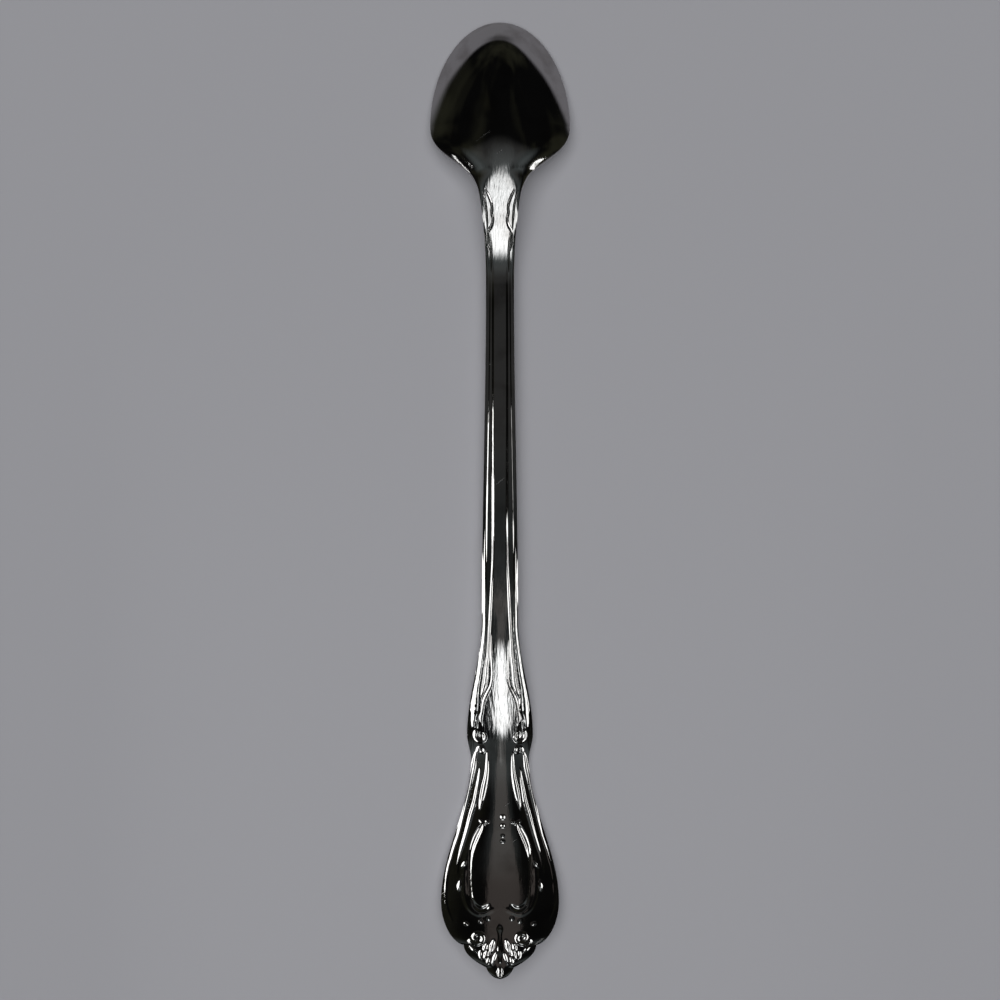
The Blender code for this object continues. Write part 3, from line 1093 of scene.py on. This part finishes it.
# %% [markdown]
# Each skin goes through the press once. The result becomes its plain mesh, the modifier is removed, and the
# skin takes the place of its CAD zone. Die and graver are tools, so they leave the scene afterwards.

# %% Press the die into the skins
SOFTNESS = 2  # rounds of blur

for zone, piece in skins.items():
    pressing = piece.modifiers.new("press", "NODES")
    pressing.node_group = press
    set_input(pressing, "Die", die)
    set_input(pressing, "Graver", graver)
    set_input(pressing, "Softness", SOFTNESS)
    set_input(pressing, "Material", steel)
    struck = evaluated_mesh(piece)
    piece.modifiers.remove(pressing)
    piece.data = struck
    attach(piece, "root")
    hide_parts(zone)
    print(zone, "struck, highest", max(v.co.z for v in struck.vertices))
bpy.data.objects.remove(die)
bpy.data.objects.remove(graver)

# %% [markdown]
# The floor is a plain pale sheet. It is large, so that views from low down still end on it. The steel does
# not mirror it, because so close to the rim it would make the bowl's border too light. The sky has a pale
# ground instead.

# %% Floor
FLOOR_SIDE = 8.0
FLOOR_COLOUR = (0.42, 0.42, 0.45, 1.0)
FLOOR_ROUGHNESS = 0.9


def pale_floor():
    """A dull, even grey."""
    material = bpy.data.materials.new("pale_floor")
    material.use_nodes = True
    shader = material.node_tree.nodes["Principled BSDF"]
    shader.inputs["Base Color"].default_value = FLOOR_COLOUR
    shader.inputs["Roughness"].default_value = FLOOR_ROUGHNESS
    return material


sheet = bpy.data.meshes.new("floor")
corner = FLOOR_SIDE / 2
corners = [(-corner, -corner, 0), (corner, -corner, 0), (corner, corner, 0), (-corner, corner, 0)]
sheet.from_pydata(corners, [], [(0, 1, 2, 3)])
sheet.materials.append(pale_floor())
floor = bpy.data.objects.new("floor", sheet)
bpy.context.scene.collection.objects.link(floor)
floor.visible_glossy = False
print("floor is", FLOOR_SIDE, "metres wide")

# %% [markdown]
# Polished steel shows its surroundings more than itself, so the light is set for its reflections. Strips
# stand at both sides of the handle: they draw the bright lines along the threads and at the heel. Cards hang
# level over the spoon and put a faint glow on blade and heel. Strips and cards show only in the steel and
# leave the floor alone. One large box overhead lights the floor, and the steel does not show it.

# %% Kinds of lamps
EDGE_FADE = (0.5, 0.15)  # off the middle of a lamp, as a share of its size
STRIP_SIDE = 0.06  # middle of the spoon to the strips beside the handle
CARD_HEIGHT = 0.27


def soft_box(name, centre, aim, width_across, height_up, strength):
    """A rectangular light that faces a point."""
    data = bpy.data.lights.new(name, "AREA")
    data.shape = "RECTANGLE"
    data.size = width_across
    data.size_y = height_up
    data.energy = strength * math.pi * width_across * height_up
    lamp = bpy.data.objects.new(name, data)
    lamp.location = centre
    lamp.rotation_euler = (Vector(aim) - Vector(centre)).to_track_quat("-Z", "Y").to_euler()
    lamp.visible_camera = False
    bpy.context.scene.collection.objects.link(lamp)
    return lamp


def soft_edges(lamp):
    """Fades a lamp out towards its edges."""
    lamp.data.use_nodes = True
    tree = lamp.data.node_tree
    off = add(tree, "ShaderNodeVectorMath", operation="DISTANCE")
    off.inputs[1].default_value = (0.5, 0.5, 0.0)
    tree.links.new(add(tree, "ShaderNodeNewGeometry").outputs["Parametric"], off.inputs[0])
    light = soft_step(tree, off.outputs["Value"], *EDGE_FADE)
    tree.links.new(light, tree.nodes["Emission"].inputs["Strength"])


def strip(name, side, start, finish, bottom, top, strength, lean):
    """A light that stands beside the handle, from start to finish along it, and shows only in the steel."""
    middle = (start + finish) / 2
    level = (bottom + top) / 2
    centre = (side * STRIP_SIDE, middle, level)
    lamp = soft_box(name, centre, (0.0, middle, level), finish - start, top - bottom, strength)
    lamp.rotation_euler.rotate_axis("Z", math.radians(lean))
    lamp.visible_diffuse = False


def card(name, across, forward, width_across, length, strength):
    """A level light over the spoon, which shows only in the steel."""
    centre = (across, forward, CARD_HEIGHT)
    lamp = soft_box(name, centre, (across, forward, 0.0), width_across, length, strength)
    lamp.visible_diffuse = False
    return lamp


# %% [markdown]
# One long strip on each side would do for a plain bar. Here each side is divided, because the strip has to be
# higher or lower, or to stop, where the neck and the blade turn their sides another way. The short strips at
# the foot make the light spots beside the heel.

# %% Lamps
STRIPS = (  # name, side, start and finish along Y, bottom and top, strength, lean in degrees
    ("left_strip_blade", -1, -0.13, -0.064, 0.02, 0.06, 2.4, 0),
    ("left_strip", -1, -0.064, 0.004, 0.02, 0.10, 2.4, 0),
    ("left_strip_end", -1, 0.004, 0.0145, 0.030, 0.052, 2.4, 0),
    ("left_strip_tip", -1, 0.0145, 0.0165, 0.040, 0.052, 2.4, 0),
    ("left_strip_foot", -1, 0.01285, 0.02815, 0.0094, 0.0120, 1.8, -38),
    ("right_strip", 1, -0.13, -0.0035, 0.026, 0.06, 2.0, 0),
    ("right_strip_end", 1, -0.0035, 0.0170, 0.010, 0.040, 0.6, 0),
    ("right_strip_foot", 1, 0.0170, 0.0204, 0.0105, 0.0290, 2.2, 0),
)
WARM = (1.0, 0.86, 0.8)
FILL_PLACE = (-0.15, 0.1, 1.9)
FILL_SIDE = 2.2
FILL_STRENGTH = 2.2

for row in STRIPS:
    strip(*row)
blade_card = card(
    "overhead_card", across=0.006, forward=-0.0535, width_across=0.05, length=0.053, strength=0.05
)
blade_card.data.color = WARM
heel_card = card("heel_card", across=0.0, forward=0.035, width_across=0.44, length=0.09, strength=0.028)
soft_edges(heel_card)
fill = soft_box("fill_box", FILL_PLACE, (0.0, 0.0, 0.0), FILL_SIDE, FILL_SIDE, FILL_STRENGTH)
fill.visible_glossy = False
print("lamps", len(bpy.data.lights))

# %% [markdown]
# What the lamps leave dark is the room, and it makes most of the picture: a bowl that mirrors a dark room is
# black. An image of a room could stand here, but a sky of nodes needs no file. Its layers are a mottled dark
# room, a pale ground below the horizon, a far wall beyond the bowl, a faintly lit ceiling, and an oval window
# over the handle, which makes the white patches on neck and swelling. Directions become slopes off straight
# up, X / Z and Y / Z, because on those a window in a level ceiling keeps its shape.

# %% Far wall
FAR_WALL = (0.17, 0.165, 0.18, 1.0)
WALL_TILT = (-0.07, -0.42, 1.0)  # the wall's top edge rises away from the handle and to the right
WALL_TOP = -0.22
WALL_BLUR = 0.14
WALL_BEYOND = (-0.1, 0.25)  # the wall fades in from beside the spoon to beyond it
WALL_SIDES = (0.1, 0.6)  # the wall is darker straight beyond the tip than at its sides
WALL_LEAST = 0.4


def far_wall(tree, direction, parts):
    """How much of the far wall shows in a direction."""
    level = add(tree, "ShaderNodeVectorMath", operation="DOT_PRODUCT")
    level.inputs[1].default_value = WALL_TILT
    tree.links.new(direction, level.inputs[0])
    low = soft_step(tree, level.outputs["Value"], WALL_TOP, WALL_TOP - WALL_BLUR)
    beyond = soft_step(tree, parts["Y"], *WALL_BEYOND)
    off_side = calculate(tree, "ABSOLUTE", parts["X"], 0.0)
    sides = soft_step(tree, off_side, *WALL_SIDES, WALL_LEAST)
    return calculate(tree, "MULTIPLY", calculate(tree, "MULTIPLY", low, beyond), sides)


print("far wall", FAR_WALL[:3])

# %% Window
WINDOW = (1.7, 1.73, 1.75, 1.0)
WINDOW_SIDE = 0.025  # the middle of the oval window: to the right
WINDOW_BACK = -0.40  # and back over the handle
WINDOW_REACH = (0.115, 0.25)
WINDOW_FADE = (1.15, 0.5)


def oval_window(tree, off_middle, back):
    """How much of the window shows at a slope."""
    oval = add(tree, "ShaderNodeCombineXYZ")
    off_back = calculate(tree, "SUBTRACT", back, WINDOW_BACK)
    for axis, off, reach in zip("XY", (off_middle, off_back), WINDOW_REACH):
        tree.links.new(calculate(tree, "DIVIDE", off, reach), oval.inputs[axis])
    radius = add(tree, "ShaderNodeVectorMath", operation="LENGTH")
    tree.links.new(oval.outputs["Vector"], radius.inputs[0])
    return soft_step(tree, radius.outputs["Value"], *WINDOW_FADE)


print("window", WINDOW[:3], "reaches", WINDOW_REACH, "off its middle")

# %% Glow of the ceiling
GLOW = (0.078, 0.088, 0.09, 1.0)  # of the ceiling round the window
GLOW_SIDE = (0.22, 0.05)
GLOW_NEAR = (0.04, -0.20)
GLOW_LEAN = 0.07  # the glow starts this much further back at the sides
GLOW_LEAN_SIDE = (0.05, 0.2)
HAZE_SIDE = (1.4, 0.4)  # a wider part of the glow, which ends sooner towards the handle
HAZE_FAR = (-0.13, -0.05)
HAZE_FAR_LEAN = 0.45


def ceiling_glow(tree, off_middle, back):
    """How much of the lit ceiling shows at a slope."""
    far_lean = calculate(tree, "ADD", back, calculate(tree, "MULTIPLY", off_middle, HAZE_FAR_LEAN))
    far = soft_step(tree, far_lean, *HAZE_FAR)
    haze = calculate(tree, "MULTIPLY", far, soft_step(tree, off_middle, *HAZE_SIDE))
    spread = calculate(tree, "MAXIMUM", soft_step(tree, off_middle, *GLOW_SIDE), haze)
    shift = calculate(tree, "MULTIPLY", soft_step(tree, off_middle, *GLOW_LEAN_SIDE), GLOW_LEAN)
    near = ranged(tree, calculate(tree, "ADD", back, shift), *GLOW_NEAR)
    return calculate(tree, "MULTIPLY", near, spread)


print("glow", GLOW[:3])

# %% [markdown]
# The layers now go over each other, from the darkest to the brightest, as paint would: each one covers what
# is below it by its share.

# %% Sky
DARK_SKY = (0.003, 0.003, 0.003, 1.0)
DIM_SKY = (0.018, 0.018, 0.012, 1.0)
MOTTLING_SCALE = 1.7
MOTTLING_DETAIL = 2.0
MOTTLING_RANGE = (0.4, 0.7)
GROUND = (0.16, 0.157, 0.168, 1.0)  # what the sides of the steel show of the floor
GROUND_EDGE = (0.02, -0.2)
LEAST_UP = 0.05  # keeps the slopes finite at the horizon


def laid_over(tree, below, share, colour):
    """A colour over what is below it, by a share. Below is a socket or a colour."""
    node = add(tree, "ShaderNodeMix", data_type="RGBA")
    node.inputs["B"].default_value = colour
    tree.links.new(share, node.inputs["Factor"])
    if isinstance(below, tuple):
        node.inputs["A"].default_value = below
    else:
        tree.links.new(below, node.inputs["A"])
    return node.outputs["Result"]


def studio_sky():
    """The layers of the sky, each laid over the one before."""
    sky = bpy.data.worlds.new("studio_sky")
    sky.use_nodes = True
    tree = sky.node_tree
    direction = add(tree, "ShaderNodeTexCoord").outputs["Generated"]
    split = add(tree, "ShaderNodeSeparateXYZ")
    tree.links.new(direction, split.inputs["Vector"])
    parts = split.outputs
    up = calculate(tree, "MAXIMUM", parts["Z"], LEAST_UP)
    side = calculate(tree, "DIVIDE", parts["X"], up)
    back = calculate(tree, "DIVIDE", parts["Y"], up)
    off_middle = calculate(tree, "ABSOLUTE", calculate(tree, "SUBTRACT", side, WINDOW_SIDE), 0.0)
    mottling = noise(tree, direction, MOTTLING_SCALE, MOTTLING_DETAIL)
    layers = (
        (soft_step(tree, mottling, *MOTTLING_RANGE), DIM_SKY),
        (soft_step(tree, parts["Z"], *GROUND_EDGE), GROUND),
        (far_wall(tree, direction, parts), FAR_WALL),
        (ceiling_glow(tree, off_middle, back), GLOW),
        (oval_window(tree, off_middle, back), WINDOW),
    )
    seen = DARK_SKY
    for share, colour in layers:
        seen = laid_over(tree, seen, share, colour)
    tree.links.new(seen, tree.nodes["Background"].inputs["Color"])
    return sky


bpy.context.scene.world = studio_sky()
print("sky nodes", len(bpy.context.scene.world.node_tree.nodes))

# %% [markdown]
# The camera looks straight down, as in the photograph, from the distance of a phone held over a table. A new
# camera already looks down, so it only needs a place and a lens. The Standard view transform shows the light
# without the film-like curve that Blender uses by itself.

# %% Camera
CAMERA_HEIGHT = 0.28
CAMERA_BACK = 0.00043  # the camera stands this far towards the handle's end
LENS = 68.2  # millimetres, as the sensor is
SENSOR = 36.0
NEAREST = 0.01  # nothing closer than this is drawn

lens = bpy.data.cameras.new("camera")
lens.sensor_width = SENSOR
lens.lens = LENS
lens.clip_start = NEAREST
camera = bpy.data.objects.new("camera", lens)
camera.location = (0.0, -CAMERA_BACK, CAMERA_HEIGHT)
bpy.context.scene.collection.objects.link(camera)
bpy.context.scene.camera = camera
bpy.context.scene.view_settings.view_transform = "Standard"
print("camera at", tuple(round(value, 5) for value in camera.location))
